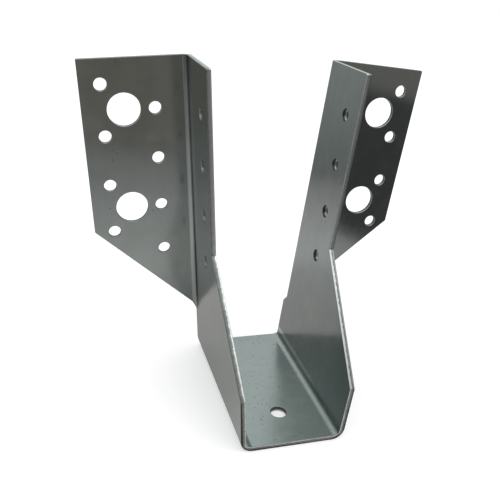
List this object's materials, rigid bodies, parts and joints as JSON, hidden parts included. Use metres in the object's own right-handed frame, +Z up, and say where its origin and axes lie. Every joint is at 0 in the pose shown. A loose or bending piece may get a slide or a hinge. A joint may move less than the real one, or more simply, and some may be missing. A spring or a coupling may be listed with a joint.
{
  "type": "joist hanger",
  "caption": "Folded galvanised steel hanger that carries the end of a timber joist: a seat between upright cheeks, which fold outward into wall flanges punched for nails and bolts.",
  "frame": {"origin": "middle of the back edge of the seat's upper face: midway between the cheeks, in the plane of the wall, at the height of the joist's underside", "axes": "+X to the right along the wall, +Y into the wall, +Z up"},
  "size_m": [0.1437, 0.0745, 0.1325],
  "materials": {
    "galvanised_sheet": "hot-dip galvanised, semi-gloss, with bright sheared edges"
  },
  "bodies": {
    "root": {"joist_hanger": "galvanised_sheet"}
  },
  "joints": []
}
